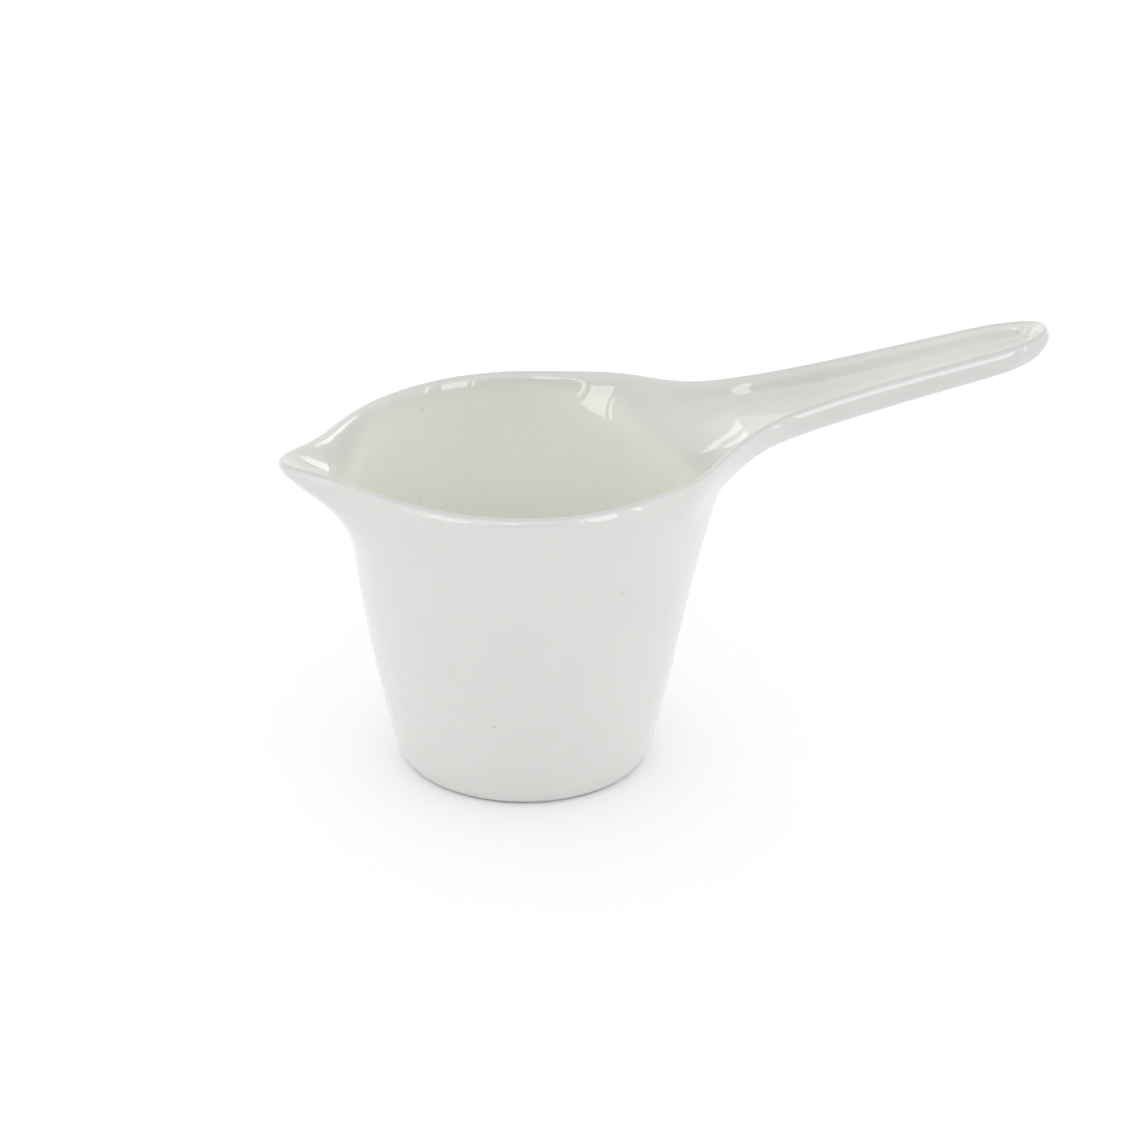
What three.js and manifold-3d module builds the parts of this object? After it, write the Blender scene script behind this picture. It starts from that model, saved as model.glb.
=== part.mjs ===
// Evaporating dish of the deep, handled form: a one-handed porcelain cup with a pouring
// beak on one side and an open channel handle on the other.
//
// The dish is laid out as it is made from wet clay: a thrown cup, a pulled beak luted into
// a notch in its rim, and a handle luted into a second notch, opposite the beak.
//
// Frame: millimetres, +Z up, origin at the centre of the flat base, +X along the handle.

import * as THREE from 'three';
import { LoftGeometry } from 'three/addons/geometries/LoftGeometry.js';
import { mergeVertices } from 'three/addons/utils/BufferGeometryUtils.js';
import Module from 'manifold-3d';

// ---------------------------------------------------------------- driving dimensions

const HEIGHT = 67.6;          // base to the crest of the rim
const RIM_RADIUS = 37;        // outside of the rim
const FOOT_RADIUS = 25.9;     // outside wall carried down to the base plane
const WALL_SWELL = 0.95;      // how far the wall bows out half way up
const FOOT_ROUND = 3.5;       // rounding between the wall and the base
const WALL = 2.7;             // clay thickness of walls, beak and handle
const FLOOR = 3.2;            // clay thickness of the cup's floor
const FLOOR_ROUND = 9;        // inside rounding between the floor and the wall
const CREST_ROUND = 1.2;      // rounding on both edges of the rim

const BEAK_REACH = 13.8;      // tip of the beak beyond the rim circle
const BEAK_LIFT = 1.8;        // tip of the beak above the rest of the rim
const BEAK_DEPTH = 17;        // rim to where the beak's keel dies into the wall
const BEAK_SPREAD = 11.7;     // degrees round the rim over which the beak fades
const BEAK_TIP = 2.6;         // degrees round the rim that the rounded tip takes
const KEEL_POWER = 1.3;       // 1 is a straight keel, more is a hollow one

const HANDLE_END = 110.9;     // far end of the handle
const HANDLE_RISE = 12.4;     // height that the handle's edge gains along its length
const HANDLE_START = 39;      // where the handle's edge starts to climb
const RISE_POWER = 0.75;      // 1 is a straight climb, less is one that arches over
const HANDLE_HALF_WIDTH = 7.4;
const WIDTH_TAPER = 2.4;      // extra half width at the root, gone at the far end
const HANDLE_DEPTH = 6.3;     // edge to underside
const DEPTH_TAPER = 2.8;      // extra depth at the root, gone at the far end
const ROOT_X = 30;            // just inside the cup's wall, where the handle is widest
const ROOT_FLARE = 12.2;      // extra half width there
const ROOT_FLARE_FADE = 9.5;
const ROOT_DROP = 7;          // extra depth there
const ROOT_DROP_FADE = 6;

const NOTCH_TILT = 24;        // degrees that both luted joints lean outwards, going down
const BEAK_NOTCH_X = -29;     // where the beak's joint crosses the rim
const HANDLE_NOTCH_X = 30;    // where the handle's joint crosses the rim
const LUTING_GAP = 0.3;       // room left for the slip in each joint

const RING_POINTS = 64;
const CHANNEL_STEPS = 12;     // steps from one edge of the handle's channel to the other
const OVERSHOOT = 6;          // how far the hollows are carried past the clay they cut

// ------------------------------------------------------------------------- solids

const wasm = await Module();
wasm.setup();

function toSolid(geometry) {
  const bare = new THREE.BufferGeometry();
  bare.setAttribute('position', geometry.getAttribute('position'));
  bare.setIndex(geometry.getIndex());
  const merged = mergeVertices(bare, 1e-5);
  return new wasm.Manifold(new wasm.Mesh({
    numProp: 3,
    vertProperties: new Float32Array(merged.attributes.position.array),
    triVerts: new Uint32Array(merged.index.array),
  }));
}

function toGeometry(solid) {
  const mesh = solid.getMesh();
  const geometry = new THREE.BufferGeometry();
  geometry.setAttribute('position', new THREE.BufferAttribute(mesh.vertProperties, 3));
  geometry.setIndex(new THREE.BufferAttribute(mesh.triVerts, 1));
  geometry.computeVertexNormals();
  return geometry;
}

function loft(sections) {
  return toSolid(new LoftGeometry(sections, { capStart: true, capEnd: true }));
}

// ---------------------------------------------------------------- cup and its beak

// Outside radius of the plain wall at height z.
function wallRadius(z) {
  const s = z / HEIGHT;
  return THREE.MathUtils.lerp(FOOT_RADIUS, RIM_RADIUS, s) + WALL_SWELL * 4 * s * (1 - s);
}

// The share of the beak's reach that the rim has, for an angle in degrees from the tip. The
// flanks fade like an exponential, and the hypotenuse rounds the tip off.
function beakPull(degreesFromTip) {
  const fromTip = Math.hypot(degreesFromTip, BEAK_TIP) - BEAK_TIP;
  return Math.exp(-fromTip / BEAK_SPREAD);
}

// One level ring of the cup. The points crowd together towards the beak's tip at -X.
function ring(radius, z, reach) {
  const keel = THREE.MathUtils.clamp(1 - (HEIGHT - z) / BEAK_DEPTH, 0, 1) ** KEEL_POWER;
  return Array.from({ length: RING_POINTS }, (_, i) => {
    const turn = (2 * i) / RING_POINTS - 1;
    const degrees = 180 * (0.5 * turn + 0.5 * turn ** 3);
    const pull = keel * beakPull(degrees);
    const reached = radius + reach * pull;
    const angle = THREE.MathUtils.degToRad(180 + degrees);
    const lifted = z + BEAK_LIFT * pull;
    return new THREE.Vector3(reached * Math.cos(angle), reached * Math.sin(angle), lifted);
  });
}

// Heights of the wall rings, close together where the beak grows out.
const WALL_HEIGHTS = [
  ...[0.25, 0.5].map((s) => s * HEIGHT),
  ...[1, 0.85, 0.7, 0.55, 0.4, 0.25, 0.12].map((s) => HEIGHT - s * BEAK_DEPTH),
];

// Rings of a quarter round: the angle runs from flat (0) to upright (90 degrees).
function quarterRound(steps, place) {
  return Array.from({ length: steps + 1 }, (_, i) => place((i / steps) * (Math.PI / 2)));
}

function cupBody() {
  const foot = quarterRound(4, (a) => {
    const z = FOOT_ROUND * (1 - Math.cos(a));
    return ring(wallRadius(z) - FOOT_ROUND * (1 - Math.sin(a)), z, BEAK_REACH);
  });
  const wall = WALL_HEIGHTS.map((z) => ring(wallRadius(z), z, BEAK_REACH));
  const crest = quarterRound(3, (a) => {
    const z = HEIGHT - CREST_ROUND * (1 - Math.sin(a));
    return ring(wallRadius(z) - CREST_ROUND * (1 - Math.cos(a)), z, BEAK_REACH);
  });
  return loft([...foot, ...wall, ...crest]);
}

function cupHollow() {
  const reach = BEAK_REACH - 0.4 * WALL;
  const inside = (z) => wallRadius(z) - WALL;
  const floor = quarterRound(5, (a) => {
    const z = FLOOR + FLOOR_ROUND * (1 - Math.cos(a));
    return ring(inside(z) - FLOOR_ROUND * (1 - Math.sin(a)), z, reach);
  });
  const wall = WALL_HEIGHTS.slice(1).map((z) => ring(inside(z), z, reach));
  const crest = quarterRound(3, (a) => {
    const z = HEIGHT - CREST_ROUND * (1 - Math.sin(a));
    return ring(inside(z) + CREST_ROUND * (1 - Math.cos(a)), z, reach);
  });
  const above = ring(inside(HEIGHT) + CREST_ROUND, HEIGHT + OVERSHOOT, reach);
  return loft([...floor, ...wall, ...crest, above]);
}

// ------------------------------------------------------------------------- handle

// Height of the handle's edge.
function edgeHeight(x) {
  const s = Math.max(0, (x - HANDLE_START) / (HANDLE_END - HANDLE_START));
  return HEIGHT + HANDLE_RISE * s ** RISE_POWER;
}

// 1 up to the handle's root, fading to 0 along the handle.
function fadeFromRoot(x, length) {
  return Math.exp(-Math.max(0, x - ROOT_X) / length);
}

// 1 at the root, 0 at the far end.
function taper(x) {
  return THREE.MathUtils.clamp((HANDLE_END - x) / (HANDLE_END - ROOT_X), 0, 1);
}

function halfWidth(x) {
  return HANDLE_HALF_WIDTH + WIDTH_TAPER * taper(x) + ROOT_FLARE * fadeFromRoot(x, ROOT_FLARE_FADE);
}

function depth(x) {
  return HANDLE_DEPTH + DEPTH_TAPER * taper(x) + ROOT_DROP * fadeFromRoot(x, ROOT_DROP_FADE);
}

// 1 along a channel, falling to 0 at its end like a quarter circle.
function roundEnd(x, end, radius) {
  const into = THREE.MathUtils.clamp(1 - (end - x) / radius, 0, 1);
  return Math.sqrt(1 - into * into);
}

// One upright section across the handle: a channel outline, closed over its top by a lid.
// Along the handle the floor is nearly flat and the sides steep, and at the root the
// section slackens, so that it runs into the cup's wall.
function channelSection(x, half, deep, lip, lid) {
  const top = edgeHeight(x);
  const slack = 0.7 + 0.8 * fadeFromRoot(x, ROOT_DROP_FADE);
  const edge = [
    new THREE.Vector3(x, half + lip, top + lid),
    new THREE.Vector3(x, -half - lip, top + lid),
  ];
  const under = Array.from({ length: CHANNEL_STEPS + 1 }, (_, i) => {
    const a = Math.PI * (i / CHANNEL_STEPS);
    const across = -Math.sign(Math.cos(a)) * Math.abs(Math.cos(a)) ** slack;
    const down = CREST_ROUND + (deep - CREST_ROUND) * Math.sin(a) ** 0.8;
    return new THREE.Vector3(x, half * across, top - down);
  });
  return [...edge, ...under];
}

// Stations along a channel that ends at end, close together in the root's flare and in the
// round end.
function stations(start, end, radius) {
  const span = [...start, 30, 32, 34.5, 37, 40, 43, 47, 52, 60, 72, 86];
  const round = [1, 0.8, 0.6, 0.42, 0.28, 0.16, 0.07, 0.01].map((s) => end - s * radius);
  return [...span, ...round];
}

function handleBody() {
  return loft(stations([28], HANDLE_END, HANDLE_HALF_WIDTH).map((x) => {
    const round = roundEnd(x, HANDLE_END, HANDLE_HALF_WIDTH);
    const half = halfWidth(x) * round;
    const deep = depth(x) * (0.5 + 0.5 * round);
    return channelSection(x, half, deep, -CREST_ROUND * round, 0);
  }));
}

// The trough is the body's own outline drawn in by the clay's thickness on every side.
function handleTrough() {
  const end = HANDLE_END - WALL;
  const radius = HANDLE_HALF_WIDTH - WALL;
  return loft(stations([20, 25], end, radius).map((x) => {
    const round = roundEnd(x, end, radius);
    const half = (halfWidth(x) - WALL) * round;
    const deep = CREST_ROUND + (depth(x) - WALL - CREST_ROUND) * (0.2 + 0.8 * round);
    return channelSection(x, half, deep, CREST_ROUND * round, OVERSHOOT);
  }));
}

// ------------------------------------------------------------------- luted joints

// A block that covers everything beyond a joint. The joint's face is a plane that crosses
// the rim at x and leans outwards going down, as the notch is cut with a wire.
function beyondJoint(x, side, gap) {
  const size = 4 * HANDLE_END;
  const block = new THREE.BoxGeometry(size, size, size);
  block.translate(side * (size / 2 + gap), 0, 0);
  block.rotateY(-side * THREE.MathUtils.degToRad(NOTCH_TILT));
  block.translate(x, 0, HEIGHT);
  return toSolid(block);
}

const clay = cupBody().add(handleBody()).subtract(cupHollow()).subtract(handleTrough());

const beakClay = clay.intersect(beyondJoint(BEAK_NOTCH_X, -1, LUTING_GAP));
const handleClay = clay.intersect(beyondJoint(HANDLE_NOTCH_X, 1, LUTING_GAP));
const cupClay = clay
  .subtract(beyondJoint(BEAK_NOTCH_X, -1, 0))
  .subtract(beyondJoint(HANDLE_NOTCH_X, 1, 0));

// ---------------------------------------------------------------------- the dish

function glazedPiece(name, solid) {
  const glaze = new THREE.MeshStandardMaterial({
    color: 0xe8e8e1,
    roughness: 0.12,
    metalness: 0,
  });
  const mesh = new THREE.Mesh(toGeometry(solid), glaze);
  mesh.name = name;
  return mesh;
}

const dish = new THREE.Group();
dish.add(glazedPiece('cup', cupClay));
dish.add(glazedPiece('spout', beakClay));
dish.add(glazedPiece('handle', handleClay));

export default dish;
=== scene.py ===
"""Glazed porcelain evaporating dish: a tapered cup with a pouring beak and a channel handle.

The whole dish is one smooth subdivision surface, cut into the three pieces of clay that the
frame names. Shape code works in millimetres in the frame's own axes: +Z up, +X along the
handle, and the origin at the centre of the base.
"""

import math

import bmesh
import bpy
import numpy as np
from mathutils import Matrix, Vector


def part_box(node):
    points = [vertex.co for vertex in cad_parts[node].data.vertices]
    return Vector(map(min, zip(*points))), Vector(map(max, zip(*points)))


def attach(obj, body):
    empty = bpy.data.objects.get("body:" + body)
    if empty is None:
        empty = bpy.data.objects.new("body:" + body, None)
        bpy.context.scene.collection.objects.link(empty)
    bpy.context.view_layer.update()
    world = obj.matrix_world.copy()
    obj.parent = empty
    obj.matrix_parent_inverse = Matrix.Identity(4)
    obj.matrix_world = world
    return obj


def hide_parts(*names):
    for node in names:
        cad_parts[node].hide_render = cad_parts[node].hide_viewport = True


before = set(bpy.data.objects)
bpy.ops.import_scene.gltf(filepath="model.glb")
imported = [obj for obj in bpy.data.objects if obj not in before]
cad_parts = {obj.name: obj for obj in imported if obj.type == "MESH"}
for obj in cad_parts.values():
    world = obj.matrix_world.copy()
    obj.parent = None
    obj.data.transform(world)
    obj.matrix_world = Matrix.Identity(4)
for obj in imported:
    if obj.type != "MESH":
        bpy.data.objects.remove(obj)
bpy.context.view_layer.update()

MM = 0.001                # metres

# -------------------------------------------------------------------------------- camera

CAMERA_AZIMUTH = -16.74   # degrees round from straight in front; minus is towards the beak
CAMERA_ELEVATION = 26.43
CAMERA_ROLL = 0.37
CAMERA_DISTANCE = 0.798   # metres from the point of the cup that it looks past
VIEW_WIDTH = 0.2285       # width of the view at that point, in metres
SENSOR_WIDTH = 36
AIM_HEIGHT = 34.5         # height of that point, on the middle line of the cup
AIM_RIGHT = 9.13          # from that point to the middle of the view
AIM_UP = 4.77

# ------------------------------------------------------------------- the frame's boxes


def box_mm(node):
    """A CAD node's lowest and highest corners, in millimetres."""
    return [np.array(corner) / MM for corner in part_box(node)]


CUP_LOW, CUP_HIGH = box_mm("cup")
SPOUT_LOW, SPOUT_HIGH = box_mm("spout")
HANDLE_LOW, HANDLE_HIGH = box_mm("handle")

# ------------------------------------------------------------------ driving dimensions

RIM_RADIUS = (CUP_HIGH[1] - CUP_LOW[1]) / 2
HEIGHT = CUP_HIGH[2]
BEAK_TIP_X = SPOUT_LOW[0]
HANDLE_END = HANDLE_HIGH[0]
HANDLE_RISE = HANDLE_HIGH[2] - HEIGHT

FOOT_RADIUS = 25.9        # outside wall carried down to the base plane
FOOT_ROUND = 2.6
WALL_SWELL = 0.95         # how far the wall bows out half way up
WALL_LEVELS = (13, 26, 38, 50)
OVAL = 0.017              # how much narrower than long the cup has become at its rim
OVAL_POWER = 1.5
WALL = 2.62               # clay thickness
FLOOR = 3.4
FLOOR_FILLET = 6.0        # clay left in the corner between the floor and the wall
CREST = 2.05              # rim control line above its shoulders, which rounds the rim
BAND = 9.4                # depth of the band of surface that follows the rim
SADDLE = 0.46             # how far the rim climbs from the middle to the beak and handle

BEAK_LIFT = 1.5           # tip of the beak above the rim beside it
BEAK_LIFT_SPAN = (-33, -46)          # along X, where that lift builds up
BEAK_SLOPE = 1.7          # the beak's flanks start where X passes this many times Y
KEEL_FULL = 0.50          # share of the beak's reach half way down the band
KEEL_LOW = 0.24           # and at the foot of it
KEEL_TUCK = 0.07          # share by which the wall tucks in again under it
KEEL_SPREAD = (1.0, 0.55, 0.18)      # by columns out from the middle plane

HALF_WIDTH = 7.45         # of the handle, near its far end
WIDTH_TAPER = 2.36        # extra half width at the root
ROOT_X = 30.0             # where the handle's measures at its root are taken
ROOT_FLARE = 19.0         # and more still where the handle leaves the cup
ROOT_FADE = 10.5          # distance along X in which that flare falls to about a third
ROOT_LIFT = 0.9           # how far the rim lifts as it turns out along the handle
ROOT_LIFT_SPAN = (24, 52)
ROOT_PULLS = {-1: 4.5, -2: 3.3, -3: 0.8}    # how far the last three wall rings reach out to it
ROOT_SPREAD = (1.0, 0.85, 0.35)      # by columns out from the middle plane
DEPTH = 4.6               # of the handle, from its shoulders down to its underside
DEPTH_TAPER = 2.2         # extra depth at the root
ROOT_THIN = 0.4           # how much shallower it is at the root than that taper makes it
ROOT_THIN_SPAN = (62, 45)
RISE_START = 38.6         # along X, where the rim starts to climb the handle
RISE_POWER = 0.85         # under 1, it climbs most steeply at the start
END_CREST = 0.4           # how much more the crest stands up round the handle's end
TROUGH_FLAT = 0.72        # share of the handle's width that its floor takes
TROUGH_END_FLAT = 0.50    # the same, where the floor turns up into the end
TROUGH_END_DEPTH = 0.82   # share of the depth there
TROUGH_END_BACK = 0.9     # how far that turn is drawn back from the end

NOTCH_TILT = math.radians(24)        # of the joint planes, from upright
BEAK_NOTCH_X = SPOUT_HIGH[0]
HANDLE_NOTCH_X = HANDLE_LOW[0]

COLUMNS = 32              # control columns round the cup, from the beak's tip at -X
FLOOR_COLUMNS = 4         # of those, the ones that run out along the handle's floor
SMOOTHING = 3             # subdivision levels
CUT_TOLERANCE = 1e-8      # metres
SKIN_FALL = 0.24          # how far the smoothed wall lies inside its control points
CREST_INSIDENESS = 0.5    # an attribute that is 0 on the outside and 1 on the inside

# The smoothed surface falls a little inside its control points, which these allow for.
RIM_LENGTH = RIM_RADIUS + 0.65
CAGE_TIP_X = BEAK_TIP_X - 0.7
CAGE_END = HANDLE_END + 0.3

# Where the control cage crosses the handle, and its rim just before the first of those.
STATIONS = [45, 51, 58, 68, 80, 92, CAGE_END - 9.5, CAGE_END - 2.4]
RIM_AT_ROOT = [35, 40]

# Shoulder of the rim in plan: from the beak's tip back to the cup, and at the handle's end as
# (distance back from the end, share of the half width).
BEAK_PLAN = [(CAGE_TIP_X, 0), (CAGE_TIP_X + 2.0, 4.4), (CAGE_TIP_X + 10.5, 10.8), (-34.4, 19.2)]
END_PLAN = [(1.9, 0.63), (0.2, 0.29), (0, 0)]

# Columns whose rim lies on the cup itself, and how far some of them draw out beyond the plain
# wall's radius towards the beak and the handle.
CUP_COLUMNS = range(4, 13)
RIM_DRAW = {4: 0.8, 5: 0.2, 11: 0.8, 12: 2.9}

# Rings under the foot and round its corner: radius, height and clay thickness.
FOOT_RINGS = [
    (0.40 * FOOT_RADIUS, 0.0, FLOOR),
    (0.72 * FOOT_RADIUS, 0.0, FLOOR),
    (FOOT_RADIUS - 0.62 * FOOT_ROUND, 0.0, FLOOR_FILLET),
    (FOOT_RADIUS, 0.42 * FOOT_ROUND, FLOOR_FILLET),
]

# Across the handle's underside: shares of its flat's half width and of its depth.
TROUGH_SECTION = [(1, 0.93), (0.5, 1), (0, 1.02), (-0.5, 1), (-1, 0.93)]

# Where the middle of the band lies between its foot and the rim: shares along X, Y and Z.
BAND_ON_CUP = (0.52, 0.52, 0.52)
BAND_AT_ROOT = (0.47, 0.47, 0.47)
BAND_ON_HANDLE = (0.56, 0.68, 0.46)
BAND_ON_BEAK = (KEEL_FULL, 0.55, 0.5)
ROOT_BAND_X = 33          # from here on along X
HANDLE_BAND_X = 38


# ------------------------------------------------------------------------ control cage

def toward(azimuth, elevation):
    """The direction of an azimuth and elevation in degrees, seen from the dish."""
    a, e = math.radians(azimuth), math.radians(elevation)
    return Vector((math.sin(a) * math.cos(e), -math.cos(a) * math.cos(e), math.sin(e)))


def column_angle(i):
    """Direction of a control column, which runs clockwise from -X seen from above."""
    return math.pi - 2 * math.pi * i / COLUMNS


def wall_radius(z):
    """Outside radius of the plain wall at height z."""
    s = z / HEIGHT
    return FOOT_RADIUS + (RIM_LENGTH - FOOT_RADIUS) * s + WALL_SWELL * 4 * s * (1 - s)


def oval(z):
    """Breadth of the cup over its length at height z."""
    return 1 - OVAL * (z / HEIGHT) ** OVAL_POWER


def plan_point(column, radius, z):
    """Where a column crosses the slightly oval ring of this radius at height z."""
    a = column_angle(column)
    return radius * math.cos(a), radius * math.sin(a) * oval(z)


def level_ring(radius, z):
    """The control points of all columns on one ring."""
    return [(*plan_point(i, radius, z), z) for i in range(COLUMNS)]


class Cage:
    """Control points and faces of one skin, with the clay's thickness at each point."""

    def __init__(self):
        self.points = []
        self.thickness = []
        self.faces = []

    def add(self, points, thickness):
        """Adds a row of points and returns their indices."""
        first = len(self.points)
        self.points += [tuple(p) for p in points]
        self.thickness += [thickness] * len(points)
        return list(range(first, first + len(points)))

    def strip(self, lower, upper, closed):
        """Faces between two rows of points, facing outwards when both run clockwise."""
        count = len(lower)
        for i in range(count if closed else count - 1):
            j = (i + 1) % count
            self.faces.append((lower[j], lower[i], upper[i], upper[j]))


def push(points, i, dx):
    """Moves the control point of column i, and its mirror image, along X."""
    for j in {i % COLUMNS, -i % COLUMNS}:
        x, y, z = points[j]
        points[j] = (x + dx, y, z)


def wall_rings():
    """Rings of the outside wall below the rim band: (points, thickness)."""
    rings = [(level_ring(radius, z), thickness) for radius, z, thickness in FOOT_RINGS]
    for z in (*WALL_LEVELS, HEIGHT - BAND):
        rings.append((level_ring(wall_radius(z), z), WALL))
    # the beak's keel and the handle's root already pull on the highest rings
    reach = -CAGE_TIP_X - RIM_LENGTH
    for i, share in enumerate(KEEL_SPREAD):
        push(rings[-1][0], i, -reach * KEEL_LOW * share)
        push(rings[-2][0], i, reach * KEEL_TUCK * share)
    for i, share in enumerate(ROOT_SPREAD):
        for ring, pull in ROOT_PULLS.items():
            push(rings[ring][0], COLUMNS // 2 + i, pull * share)
    return rings


def ramp(x, start, end):
    """0 up to start and 1 from end on, straight in between."""
    return min(1, max(0, (x - start) / (end - start)))


def taper(x):
    """0 at the handle's end and 1 at its root."""
    return ramp(x, CAGE_END, ROOT_X)


def half_width(x):
    """Half the handle's width between its shoulders."""
    return HALF_WIDTH + WIDTH_TAPER * taper(x) + ROOT_FLARE * math.exp((ROOT_X - x) / ROOT_FADE)


def depth(x):
    """From the handle's shoulders down to its underside."""
    return DEPTH + DEPTH_TAPER * taper(x) - ROOT_THIN * ramp(x, *ROOT_THIN_SPAN)


def rim_height(x):
    """Height of the rim's shoulders. The crest smooths to two thirds of its control height."""
    saddle = SADDLE * min(1, (x / RIM_LENGTH) ** 2)
    toward_tip = ramp(x, *BEAK_LIFT_SPAN)
    beak = BEAK_LIFT * toward_tip ** 2 * (3 - 2 * toward_tip)
    root = ROOT_LIFT * ramp(x, *ROOT_LIFT_SPAN)
    rise = HANDLE_RISE - SADDLE - ROOT_LIFT - END_CREST
    climb = rise * ramp(x, RISE_START, CAGE_END) ** RISE_POWER
    return HEIGHT - CREST * 2 / 3 + saddle + beak + root + climb


def rim_half():
    """Shoulder of the rim from the beak's tip to the handle's end, on the +Y side."""
    plan = list(BEAK_PLAN)
    for i in CUP_COLUMNS:
        plan.append(plan_point(i, RIM_LENGTH + RIM_DRAW.get(i, 0), HEIGHT))
    for x in RIM_AT_ROOT + STATIONS[:-1]:
        plan.append((x, half_width(x)))
    last = half_width(CAGE_END)
    for back, share in END_PLAN:
        plan.append((CAGE_END - back, share * last))
    return [(x, y, rim_height(x)) for x, y in plan]


def trough_rows():
    """Rows of control points across the handle's underside, from its +Y side."""
    rows = []
    for x in STATIONS:
        half, down, back = TROUGH_FLAT * half_width(x), depth(x), 0
        if x == STATIONS[-1]:
            half = TROUGH_END_FLAT * half_width(x)
            down = TROUGH_END_DEPTH * down
            back = TROUGH_END_BACK
        rows.append([(x - back, side * half, rim_height(x) - drop * down)
                     for side, drop in TROUGH_SECTION])
    return rows


def band_share(x, y):
    """How far the band's middle lies from its foot to the rim, at a point of the rim."""
    if x < -BEAK_SLOPE * abs(y):
        return BAND_ON_BEAK
    if x > HANDLE_BAND_X:
        return BAND_ON_HANDLE
    if x > ROOT_BAND_X:
        return BAND_AT_ROOT
    return BAND_ON_CUP


def outer_skin():
    """The outside of the dish, open along its rim. Returns the cage and the rim's row."""
    cage = Cage()
    pole = cage.add([(0, 0, 0)], FLOOR)[0]
    rings = [cage.add(points, thickness) for points, thickness in wall_rings()]
    for i in range(COLUMNS):
        cage.faces.append((pole, rings[0][i], rings[0][(i + 1) % COLUMNS]))
    for lower, upper in zip(rings, rings[1:]):
        cage.strip(lower, upper, closed=True)

    top = rings[-1]
    middle = COLUMNS // 2
    first, last = middle - FLOOR_COLUMNS // 2, middle + FLOOR_COLUMNS // 2
    floor = [top[first:last + 1]] + [cage.add(row, WALL) for row in trough_rows()]
    for near, far in zip(floor, floor[1:]):
        cage.strip(near, far, closed=False)

    low = (top[:first] + [row[0] for row in floor] + floor[-1][1:-1]
           + [row[-1] for row in reversed(floor)] + top[last + 1:])
    half = rim_half()
    rim = half + [(x, -y, z) for x, y, z in reversed(half[1:-1])]
    band = []
    for foot, point in zip((cage.points[i] for i in low), rim):
        foot, point = np.array(foot), np.array(point)
        band.append(foot + (point - foot) * np.array(band_share(point[0], point[1])))
    band = cage.add(band, WALL)
    shoulder = cage.add(rim, WALL)
    cage.strip(low, band, closed=True)
    cage.strip(band, shoulder, closed=True)
    return cage, shoulder


def point_normals(points, faces):
    """Outward normals of a cage, weighted by the angle of each face at each point."""
    normals = np.zeros_like(points)
    for face in faces:
        for here, after, before in zip(face, face[1:] + face[:1], face[-1:] + face[:-1]):
            a, b = points[after] - points[here], points[before] - points[here]
            cross = np.cross(a, b)
            size = np.linalg.norm(cross)
            normals[here] += cross / size * math.atan2(size, a @ b)
    return normals / np.linalg.norm(normals, axis=1)[:, None]


def closed_cage():
    """Both skins of the clay, joined over a rounded rim: points, faces and insideness."""
    cage, shoulder = outer_skin()
    outer = np.array(cage.points)
    count = len(outer)
    thickness = np.array(cage.thickness)[:, None]
    inner = outer - point_normals(outer, cage.faces) * thickness
    crest = (outer[shoulder] + inner[shoulder]) / 2
    crest[:, 2] = outer[shoulder][:, 2] + CREST
    points = np.vstack([outer, inner, crest])
    on_crest = np.full(len(crest), CREST_INSIDENESS)
    inside = np.concatenate([np.zeros(count), np.ones(count), on_crest])

    faces = list(cage.faces) + [tuple(count + i for i in reversed(f)) for f in cage.faces]
    for k, here in enumerate(shoulder):
        after = (k + 1) % len(shoulder)
        there = shoulder[after]
        crest_here, crest_there = 2 * count + k, 2 * count + after
        faces.append((there, here, crest_here, crest_there))
        faces.append((crest_there, crest_here, count + here, count + there))
    return points, faces, inside


# -------------------------------------------------------------------- pieces of the dish

def smooth_dish():
    """The whole dish as one fine mesh, with its smooth normals kept in an attribute."""
    points, faces, inside = closed_cage()
    mesh = bpy.data.meshes.new("dish_cage")
    mesh.from_pydata((points * MM).tolist(), [], faces)
    mesh.attributes.new("inside", "FLOAT", "POINT").data.foreach_set("value", inside)
    cage = bpy.data.objects.new("dish_cage", mesh)
    bpy.context.scene.collection.objects.link(cage)
    surface = cage.modifiers.new("smooth", "SUBSURF")
    surface.levels = SMOOTHING
    surface.render_levels = SMOOTHING
    evaluated = cage.evaluated_get(bpy.context.evaluated_depsgraph_get())
    fine = bpy.data.meshes.new_from_object(evaluated)
    bpy.data.objects.remove(cage)
    normals = np.zeros(3 * len(fine.vertices))
    fine.vertices.foreach_get("normal", normals)
    kept = fine.attributes.new("smooth_normal", "FLOAT_VECTOR", "POINT")
    kept.data.foreach_set("vector", normals)
    return fine


def joint_plane(x, side):
    """Point and normal of a luted joint: it crosses the rim at x and leans outwards going down."""
    normal = Vector((side * math.cos(NOTCH_TILT), 0, math.sin(NOTCH_TILT)))
    return Vector((x * MM, 0, HEIGHT * MM)), normal


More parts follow.
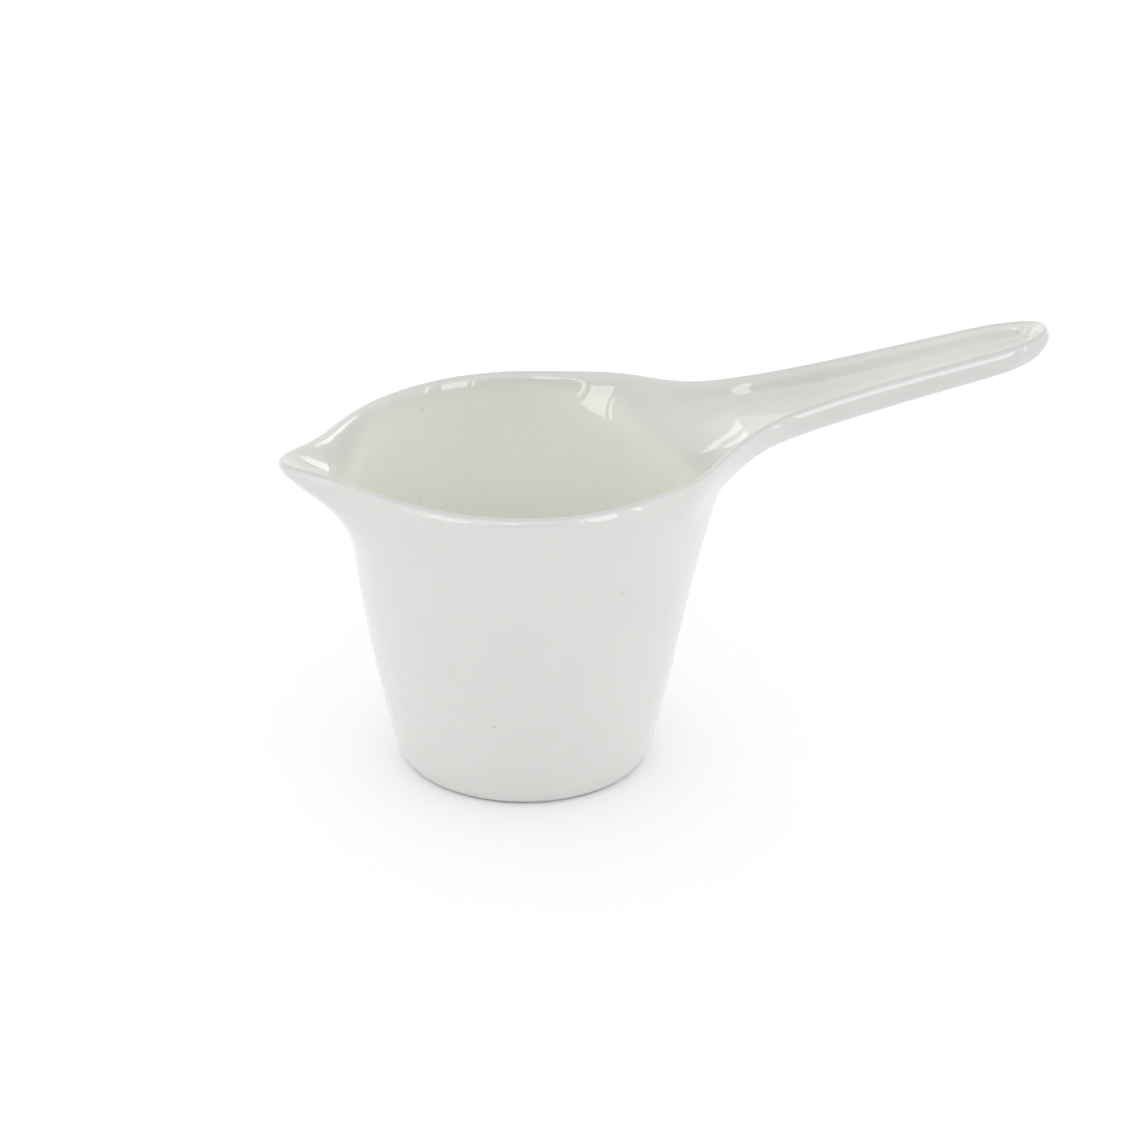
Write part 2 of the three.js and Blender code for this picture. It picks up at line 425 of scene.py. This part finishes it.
def cut_piece(name, fine, cuts):
    """The part of the dish in front of each (point, normal) plane, closed at the joints."""
    bm = bmesh.new()
    bm.from_mesh(fine)
    is_joint = bm.faces.layers.int.new("joint")
    for point, normal in cuts:
        everything = bm.verts[:] + bm.edges[:] + bm.faces[:]
        bmesh.ops.bisect_plane(bm, geom=everything, plane_co=point, plane_no=normal,
                               dist=CUT_TOLERANCE, clear_inner=True)
        rim = [e for e in bm.edges if e.is_boundary]
        for face in bmesh.ops.edgenet_fill(bm, edges=rim)["faces"]:
            face[is_joint] = 1
            if face.normal.dot(normal) > 0:
                face.normal_flip()
    joints = [f for f in bm.faces if f[is_joint]]
    bmesh.ops.triangulate(bm, faces=joints)
    mesh = bpy.data.meshes.new(name)
    bm.to_mesh(mesh)
    bm.free()
    mesh.shade_smooth()

    corner_vertex = np.zeros(len(mesh.loops), dtype=int)
    mesh.loops.foreach_get("vertex_index", corner_vertex)
    normals = np.zeros(3 * len(mesh.vertices))
    mesh.attributes["smooth_normal"].data.foreach_get("vector", normals)
    corners = normals.reshape(-1, 3)[corner_vertex]
    for face in mesh.polygons:
        if mesh.attributes["joint"].data[face.index].value:
            corners[list(face.loop_indices)] = face.normal
    mesh.normals_split_custom_set(corners)
    mesh.attributes.remove(mesh.attributes["smooth_normal"])
    mesh.attributes.remove(mesh.attributes["joint"])

    piece = bpy.data.objects.new(name, mesh)
    bpy.context.scene.collection.objects.link(piece)
    return piece


# --------------------------------------------------------------------------- materials

# The glaze is cool outside. Painted light makes it warm and light down in the bowl and in the
# handle's hollow; painted shade makes it darker and greyer up near the rim, on the crest and on
# the handle's outside.
OUTSIDE_COLOUR = (0.718, 0.714, 0.698, 1)
HANDLE_SHADE_COLOUR = (0.665, 0.662, 0.645, 1)     # the handle's outside, darker as painted shade
BOWL_LIGHT_COLOUR = (0.825, 0.822, 0.762, 1)       # down inside the cup, lighter and warmer as painted light
INSIDE_SHADE_COLOUR = (0.69, 0.69, 0.66, 1)        # inside near the rim, darker and greyer as painted shade
TROUGH_LIGHT_COLOUR = (0.74, 0.74, 0.715, 1)       # the handle's hollow, lighter as painted light
# The crest, darker and greyer as painted shade.
RIM_SHADE_COLOUR = (0.615, 0.617, 0.605, 1)
HANDLE_SHADE_FADE = (36, 62)                       # along X, into the handle's painted shade
TROUGH_LIGHT_FADE = (58, 82)                       # along X, into the hollow's painted light
BOWL_LIGHT_TO_SHADE_FADE = (62.5, 69.5)                   # up the inside, from the bowl's painted light to the painted shade near the rim

# The same by insideness.
LINING_FADE = (0.55, 1.0)
RIM_SHADE_FADE = (0.34, 0.02)                      # as a distance from the crest, for its painted shade

# Out of the bowl towards the handle and the beak, where that fade from painted light to painted
# shade comes lower: the span along X, and how much lower.
LOWER_AT_HANDLE = (20, 42, 0, 12)
LOWER_AT_BEAK = (-22, -40, 0, 8)

# Soft patterns in the glaze: size, and how much each darkens it at most.
CLOUD_SIZE = 26
CLOUD_SHADE = 0.018
GRAIN_SIZE = 0.9
GRAIN_SHADE = 0.014
POOL_SIZE = 7
POOL_SHADE = 0.008
POOL_SPAN = (0.35, 0.7)
NOISE_SPAN = (0.3, 0.7)                      # most values of a noise lie in this span

# Scattered specks: one cell in a few holds a dot, and the surface cuts only some of those.
SPECK_COLOUR = (0.30, 0.235, 0.165, 1)
SPECK_CELL = 4.5
SPECK_SHARE = 0.14                           # of the cells that hold a dot
SPECK_DOT = (0.075, 0.02)                    # from its edge to its core, in cells
SPECK_DEPTH = 0.22

# Iron specks under the glaze that are easy to see. On the cup: degrees round from straight in
# front, height, how far in from the outside, and radius. On the handle: place along X, share
# of its half width, height above its shoulders, and radius.
CUP_SPECKS = [
    (-28, 20, 0, 0.45),
    (16, 49, 0, 0.36),
    (23, 46, 0, 0.24),
    (-74, 38, 0, 0.32),
    (-159, 63, WALL, 0.25),
]
HANDLE_SPECKS = [
    (55, 0.4, -3.7, 0.30),
    (82, -0.9, 0.7, 0.40),
]
IRON_DEPTH = 0.52
IRON_CORE = 0.25                             # share of the radius that is darkest
RAGGED_SCALE = 2.2                           # of the noise that makes their edges ragged
RAGGED_SHIFT = 0.7

# The bare clay under the foot.
GLAZE_LINE = (0.30, 0.22)                    # heights between which the glaze stops
GLAZE_LINE_WANDER = 0.35
BISCUIT_COLOUR = (0.76, 0.745, 0.70, 1)
SOILED_COLOUR = (0.66, 0.64, 0.585, 1)
CHALK_COLOUR = (0.55, 0.53, 0.48, 1)
CHALK_SHARE = 0.25
CHALK_SIZE = 0.45
SOILING_SIZE = 5
SOILING_SPAN = (0.35, 0.75)

# Roughness, and relief as the size of a pattern and its height.
GLAZE_ROUGHNESS = (0.012, 0.032)
SPECK_ROUGHNESS = 0.2
BISCUIT_ROUGHNESS = 0.6
WAVE_SIZE = 17
WAVE_HEIGHT = 0.16
PEEL_SIZE = 2.2
PEEL_HEIGHT = 0.0035
GLAZE_THICKNESS = 0.05
CHALK_RELIEF = 0.4                           # share of that thickness
GLAZE_IOR = 1.5

FLOOR_WHITE = 0.97
FLOOR_MOTTLE = 0.004
FLOOR_MOTTLE_SCALE = 3.0
FLOOR_ROUGHNESS = 0.8


class Shading:
    """A material's node tree, and short ways to add nodes with their inputs set or linked."""

    def __init__(self, name):
        self.material = bpy.data.materials.new(name)
        self.material.use_nodes = True
        self.tree = self.material.node_tree
        self.tree.nodes.clear()

    def add(self, kind, inputs=(), **settings):
        """A new node. Inputs go by index or name, and are values or another node's output."""
        node = self.tree.nodes.new("ShaderNode" + kind)
        for setting, value in settings.items():
            setattr(node, setting, value)
        for key, value in dict(inputs).items():
            if isinstance(value, bpy.types.NodeSocket):
                self.tree.links.new(value, node.inputs[key])
            else:
                node.inputs[key].default_value = value
        return node

    def math(self, operation, *values):
        """The value of one arithmetic operation."""
        return self.add("Math", enumerate(values), operation=operation).outputs[0]

    def mix(self, share, first, second):
        """Colours: first where share is 0, second where it is 1."""
        node = self.add("Mix", {0: share, 6: first, 7: second}, data_type="RGBA")
        return node.outputs[2]

    def span(self, value, start, end, low=0.0, high=1.0):
        """Low at and before start, rising smoothly to high at end."""
        node = self.add("MapRange", {0: value, 1: start, 2: end, 3: low, 4: high},
                        interpolation_type="SMOOTHSTEP")
        return node.outputs[0]

    def noise(self, where, size, detail=2.0, rough=0.5):
        """Values round 0.5 that change over about the given size in millimetres."""
        node = self.add("TexNoise", {"Vector": where, "Scale": 1 / size, "Detail": detail,
                                     "Roughness": rough})
        return node.outputs[0]

    def bump(self, height, distance, normal=None):
        """A normal tilted by relief of the given height in millimetres."""
        inputs = {"Height": height, "Distance": distance * MM, "Strength": 1.0}
        if normal is not None:
            inputs["Normal"] = normal
        return self.add("Bump", inputs).outputs[0]

    def finish(self, shader):
        """The finished material with this shader as its surface."""
        self.add("OutputMaterial", {"Surface": shader.outputs[0]})
        return self.material


def grey(value):
    """A neutral colour."""
    return (value, value, value, 1)


def glaze_colour(sh, place, pool):
    """The glaze's colour by place, with painted light and shade by region, and its soft patterns."""
    length, _, height = sh.add("SeparateXYZ", {0: place}).outputs
    inside = sh.add("Attribute", attribute_name="inside").outputs["Fac"]

    # The handle's outside is darkened as painted shade.
    outside = sh.mix(sh.span(length, *HANDLE_SHADE_FADE), OUTSIDE_COLOUR, HANDLE_SHADE_COLOUR)
    # Inside: painted light down in the bowl and painted shade up near the rim.
    lower = sh.math("ADD", sh.span(length, *LOWER_AT_HANDLE), sh.span(length, *LOWER_AT_BEAK))
    out_of_bowl = sh.span(sh.math("ADD", height, lower), *BOWL_LIGHT_TO_SHADE_FADE)
    lining_light_and_shade = sh.mix(out_of_bowl, BOWL_LIGHT_COLOUR, INSIDE_SHADE_COLOUR)
    # The handle's hollow is lightened as painted light.
    lining_light_and_shade = sh.mix(sh.span(length, *TROUGH_LIGHT_FADE), lining_light_and_shade, TROUGH_LIGHT_COLOUR)
    colour = sh.mix(sh.span(inside, *LINING_FADE), outside, lining_light_and_shade)
    # Painted shade on the crest.
    from_crest = sh.math("ABSOLUTE", sh.math("SUBTRACT", inside, CREST_INSIDENESS))
    colour = sh.mix(sh.span(from_crest, *RIM_SHADE_FADE), colour, RIM_SHADE_COLOUR)

    cloud = sh.noise(place, CLOUD_SIZE, 3)
    grain = sh.noise(place, GRAIN_SIZE, 2, 0.6)
    shade = sh.math("ADD", sh.span(cloud, *NOISE_SPAN, 1 - CLOUD_SHADE, 1.0),
                    sh.span(grain, *NOISE_SPAN, -GRAIN_SHADE, 0.0))
    shade = sh.math("ADD", shade, sh.span(pool, *POOL_SPAN, -POOL_SHADE, 0.0))
    return sh.mix(shade, grey(0), colour)


def iron_specks():
    """Places and radii of the iron specks that are easy to see."""
    specks = []
    for degrees, height, inwards, radius in CUP_SPECKS:
        x, y, _ = toward(degrees, 0) * (wall_radius(height) - SKIN_FALL - inwards)
        specks.append(((x, y * oval(height), height), radius))
    for x, share, above, radius in HANDLE_SPECKS:
        specks.append(((x, share * half_width(x), rim_height(x) + above), radius))
    return specks


def speck_share(sh, place):
    """How much of the colour is speck at a place."""
    cells = sh.add("TexVoronoi", {"Vector": place, "Scale": 1 / SPECK_CELL}, distance="EUCLIDEAN")
    chance = sh.add("SeparateColor", {0: cells.outputs["Color"]}).outputs[0]
    picked = sh.math("GREATER_THAN", chance, 1 - SPECK_SHARE)
    dot = sh.span(cells.outputs["Distance"], *SPECK_DOT)
    speck = sh.math("MULTIPLY", sh.math("MULTIPLY", picked, dot), SPECK_DEPTH)

    shift = sh.add("TexNoise", {"Vector": place, "Scale": RAGGED_SCALE}).outputs[1]
    shift = sh.add("VectorMath", {0: shift, 1: (0.5, 0.5, 0.5)}, operation="SUBTRACT").outputs[0]
    shift = sh.add("VectorMath", {0: shift, "Scale": RAGGED_SHIFT}, operation="SCALE").outputs[0]
    ragged = sh.add("VectorMath", {0: place, 1: shift}).outputs[0]
    for point, radius in iron_specks():
        away = sh.add("VectorMath", {0: ragged, 1: point}, operation="DISTANCE").outputs["Value"]
        speck = sh.math("MAXIMUM", speck, sh.span(away, radius, IRON_CORE * radius, 0.0, IRON_DEPTH))
    return speck


def biscuit_colour(sh, place, chalk):
    """The colour of the bare clay, a little soiled."""
    soiling = sh.noise(place, SOILING_SIZE, 4, 0.6)
    biscuit = sh.mix(sh.span(soiling, *SOILING_SPAN), BISCUIT_COLOUR, SOILED_COLOUR)
    return sh.mix(sh.span(chalk, *NOISE_SPAN, 0.0, CHALK_SHARE), biscuit, CHALK_COLOUR)


def glaze():
    """Clear glossy glaze over off-white porcelain, and bare biscuit under the foot."""
    sh = Shading("porcelain_glaze")
    place = sh.add("TexCoord").outputs["Object"]
    place = sh.add("VectorMath", {0: place, "Scale": 1 / MM}, operation="SCALE").outputs[0]
    height = sh.add("SeparateXYZ", {0: place}).outputs[2]
    pool = sh.noise(place, POOL_SIZE, 2)
    chalk = sh.noise(place, CHALK_SIZE, 4, 0.7)
    speck = speck_share(sh, place)

    # the glaze stops in a fine uneven line just above the base
    wander = sh.math("MULTIPLY", sh.math("SUBTRACT", pool, 0.5), GLAZE_LINE_WANDER)
    bare = sh.span(sh.math("ADD", height, wander), *GLAZE_LINE)

    colour = sh.mix(speck, glaze_colour(sh, place, pool), SPECK_COLOUR)
    colour = sh.mix(bare, colour, biscuit_colour(sh, place, chalk))

    roughness = sh.math("ADD", sh.span(pool, *NOISE_SPAN, *GLAZE_ROUGHNESS),
                        sh.math("MULTIPLY", speck, SPECK_ROUGHNESS))
    roughness = sh.math("ADD", roughness, sh.math("MULTIPLY", bare, BISCUIT_ROUGHNESS))

    # slow waves left by dipping, a fine orange peel, and the bare clay's grain and glaze step
    relief = sh.bump(sh.noise(place, WAVE_SIZE, 1), WAVE_HEIGHT)
    relief = sh.bump(sh.noise(place, PEEL_SIZE, 2), PEEL_HEIGHT, relief)
    chalky = sh.math("MULTIPLY", chalk, sh.math("MULTIPLY", bare, CHALK_RELIEF))
    relief = sh.bump(sh.math("SUBTRACT", chalky, bare), GLAZE_THICKNESS, relief)

    shader = sh.add("BsdfPrincipled", {"Base Color": colour, "Roughness": roughness,
                                       "Normal": relief, "IOR": GLAZE_IOR})
    return sh.finish(shader)


def floor_paint():
    """Matt white with a hardly visible mottle."""
    sh = Shading("floor_white")
    place = sh.add("TexCoord").outputs["Object"]
    mottle = sh.add("TexNoise", {"Vector": place, "Scale": FLOOR_MOTTLE_SCALE, "Detail": 2.0})
    share = sh.span(mottle.outputs[0], *NOISE_SPAN)
    paint = sh.mix(share, grey(FLOOR_WHITE), grey(FLOOR_WHITE - FLOOR_MOTTLE))
    return sh.finish(sh.add("BsdfPrincipled", {"Base Color": paint, "Roughness": FLOOR_ROUGHNESS}))


# ------------------------------------------------------------------------ build the dish

fine = smooth_dish()
beak_joint = joint_plane(BEAK_NOTCH_X, -1)
handle_joint = joint_plane(HANDLE_NOTCH_X, 1)
cuts_by_piece = {
    "spout": [beak_joint],
    "handle": [handle_joint],
    "cup": [(beak_joint[0], -beak_joint[1]), (handle_joint[0], -handle_joint[1])],
}
glaze_material = glaze()
for name, cuts in cuts_by_piece.items():
    piece = cut_piece("glazed_" + name, fine, cuts)
    piece.data.materials.clear()
    piece.data.materials.append(glaze_material)
    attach(piece, "root")
    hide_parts(name)
bpy.data.meshes.remove(fine)


# ------------------------------------------------------------------------------- stage

FLOOR_WIDTH = 8.0         # metres

# Brightness of the white room by direction. "Front" is the camera's side, as the cosine of the
# angle from it, and "up" is the sine of the elevation.
ROOM_LOW = 1.30
ROOM_LOW_FRONT = 0.15
ROOM_LOW_SPAN = (0.25, 0.8)          # of front, over which it changes to that
ROOM_MIDDLE = 1.25
ROOM_MIDDLE_FRONT = 1.75
ROOM_MIDDLE_SPAN = (0.0, 0.7)
ROOM_TOP = 0.72
LOW_TO_MIDDLE = (0.22, 0.52)         # of up, over which one changes to the other
MIDDLE_TO_TOP = (0.60, 0.98)

# Strips of window glass round the dish that show only as reflections in its glaze. Each
# runs from one direction to another, as (azimuth, elevation) in degrees seen from the
# dish, with its width in degrees and its radiance. Azimuth 0 is straight in front of the
# dish and 90 is towards the handle.
STRIPS = {
    "left": ((-58.0, -2.0), (-48.0, 23.0), 23.0, 3.8),
    "left_slit_1": ((-39.5, -2.0), (-29.5, 23.0), 2.6, 3.6),
    "left_slit_2": ((-75.5, -2.0), (-65.5, 23.0), 2.6, 3.6),
    "left_high": ((-26.0, 19.0), (-19.0, 29.0), 9.0, 3.8),
    "right": ((30.0, -2.0), (30.0, 26.0), 18.0, 4.6),
    "right_slit_1": ((50.0, -2.0), (50.0, 26.0), 2.8, 4.0),
    "right_slit_2": ((17.0, -2.0), (17.0, 26.0), 2.2, 4.0),
    "back_low": ((-133.0, 9.0), (-153.0, 22.0), 8.0, 1.8),
    "back_high": ((-153.0, 22.0), (-178.0, 34.5), 4.0, 1.8),
    "back_slit": ((-158.0, 12.0), (-179.0, 30.0), 3.0, 1.6),
    "handle_side": ((113.5, 4.5), (100.5, 15.5), 7.5, 3.0),
}
STRIP_DISTANCE = 2.5      # metres


def add_floor():
    """A wide flat floor under the dish."""
    half = FLOOR_WIDTH / 2
    mesh = bpy.data.meshes.new("floor")
    mesh.from_pydata([(-half, -half, 0), (half, -half, 0), (half, half, 0), (-half, half, 0)],
                     [], [(0, 1, 2, 3)])
    mesh.materials.append(floor_paint())
    floor = bpy.data.objects.new("floor", mesh)
    bpy.context.scene.collection.objects.link(floor)


def add_camera():
    """The photograph's camera, which looks a little past the middle of the cup."""
    azimuth = math.radians(CAMERA_AZIMUTH)
    back = toward(CAMERA_AZIMUTH, CAMERA_ELEVATION)
    right = Vector((math.cos(azimuth), math.sin(azimuth), 0))
    up = back.cross(right)
    middle = Vector((0, 0, AIM_HEIGHT * MM))
    place = middle + back * CAMERA_DISTANCE
    target = middle + (right * AIM_RIGHT + up * AIM_UP) * MM
    look = (place - target).normalized()
    right = Vector((0, 0, 1)).cross(look).normalized()
    turn = Matrix((right, look.cross(right), look)).transposed().to_4x4()
    roll = Matrix.Rotation(math.radians(CAMERA_ROLL), 4, "Z")

    data = bpy.data.cameras.new("camera")
    data.sensor_width = SENSOR_WIDTH
    data.lens = SENSOR_WIDTH * CAMERA_DISTANCE / VIEW_WIDTH
    data.clip_start = 0.05
    data.clip_end = 30
    camera = bpy.data.objects.new("camera", data)
    camera.matrix_world = Matrix.Translation(place) @ turn @ roll
    bpy.context.scene.collection.objects.link(camera)
    bpy.context.scene.camera = camera


def add_world():
    """A white room, brightest half way up behind the camera and dimmest low down there."""
    world = bpy.data.worlds.new("studio")
    world.use_nodes = True
    tree = world.node_tree

    def change(value, start, end, before, after):
        """Before at and under start, and after at and over end."""
        node = tree.nodes.new("ShaderNodeMapRange")
        node.interpolation_type = "SMOOTHSTEP"
        for key, setting in enumerate((value, start, end, before, after)):
            if isinstance(setting, bpy.types.NodeSocket):
                tree.links.new(setting, node.inputs[key])
            else:
                node.inputs[key].default_value = setting
        return node.outputs[0]

    direction = tree.nodes.new("ShaderNodeTexCoord").outputs["Generated"]
    front = tree.nodes.new("ShaderNodeVectorMath")
    front.operation = "DOT_PRODUCT"
    tree.links.new(direction, front.inputs[0])
    front.inputs[1].default_value = toward(CAMERA_AZIMUTH, 0)
    front = front.outputs["Value"]
    upward = tree.nodes.new("ShaderNodeSeparateXYZ")
    tree.links.new(direction, upward.inputs[0])
    upward = upward.outputs["Z"]

    low = change(front, *ROOM_LOW_SPAN, ROOM_LOW, ROOM_LOW_FRONT)
    middle = change(front, *ROOM_MIDDLE_SPAN, ROOM_MIDDLE, ROOM_MIDDLE_FRONT)
    level = change(upward, *LOW_TO_MIDDLE, low, middle)
    level = change(upward, *MIDDLE_TO_TOP, level, ROOM_TOP)
    tree.links.new(level, tree.nodes["Background"].inputs["Strength"])
    tree.nodes["Background"].inputs["Color"].default_value = (1, 1, 1, 1)
    bpy.context.scene.world = world


def add_strips():
    """One reflected light for each strip, facing the dish."""
    for name, (start, end, width, radiance) in STRIPS.items():
        first, last = toward(*start), toward(*end)
        back = (first + last).normalized()
        along = (last - first).normalized()
        light = bpy.data.lights.new("strip_" + name, "AREA")
        light.shape = "RECTANGLE"
        light.size = 2 * STRIP_DISTANCE * math.tan(math.radians(width / 2))
        light.size_y = STRIP_DISTANCE * (last - first).length
        light.energy = math.pi * radiance * light.size * light.size_y
        lamp = bpy.data.objects.new(light.name, light)
        lamp.matrix_world = (Matrix.Translation(back * STRIP_DISTANCE)
                             @ Matrix((along.cross(back), along, back)).transposed().to_4x4())
        lamp.visible_diffuse = False
        bpy.context.scene.collection.objects.link(lamp)


add_floor()
add_camera()
add_world()
add_strips()
bpy.context.scene.view_settings.view_transform = "Standard"
